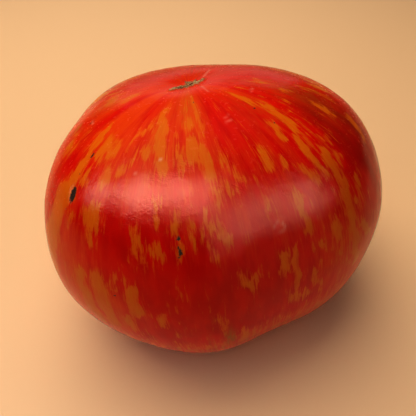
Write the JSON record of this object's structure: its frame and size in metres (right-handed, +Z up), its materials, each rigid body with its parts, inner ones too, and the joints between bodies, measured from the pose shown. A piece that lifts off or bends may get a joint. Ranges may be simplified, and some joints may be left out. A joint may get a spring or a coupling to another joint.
{
  "type": "tomato",
  "caption": "Large oval beefsteak tomato, gently lobed, resting on its ribbed stem end with the corky blossom scar on top.",
  "frame": {"origin": "on the resting surface, under the middle of the fruit's box", "axes": "+Z up from the stem end to the blossom end, +X along the fruit's longest width, -Y towards the picture's viewer"},
  "size_m": [0.0954, 0.0822, 0.0727],
  "materials": {
    "tomato_skin": "satin waxy skin, red with thin orange flames"
  },
  "bodies": {
    "root": {"tomato": "tomato_skin"}
  },
  "joints": []
}
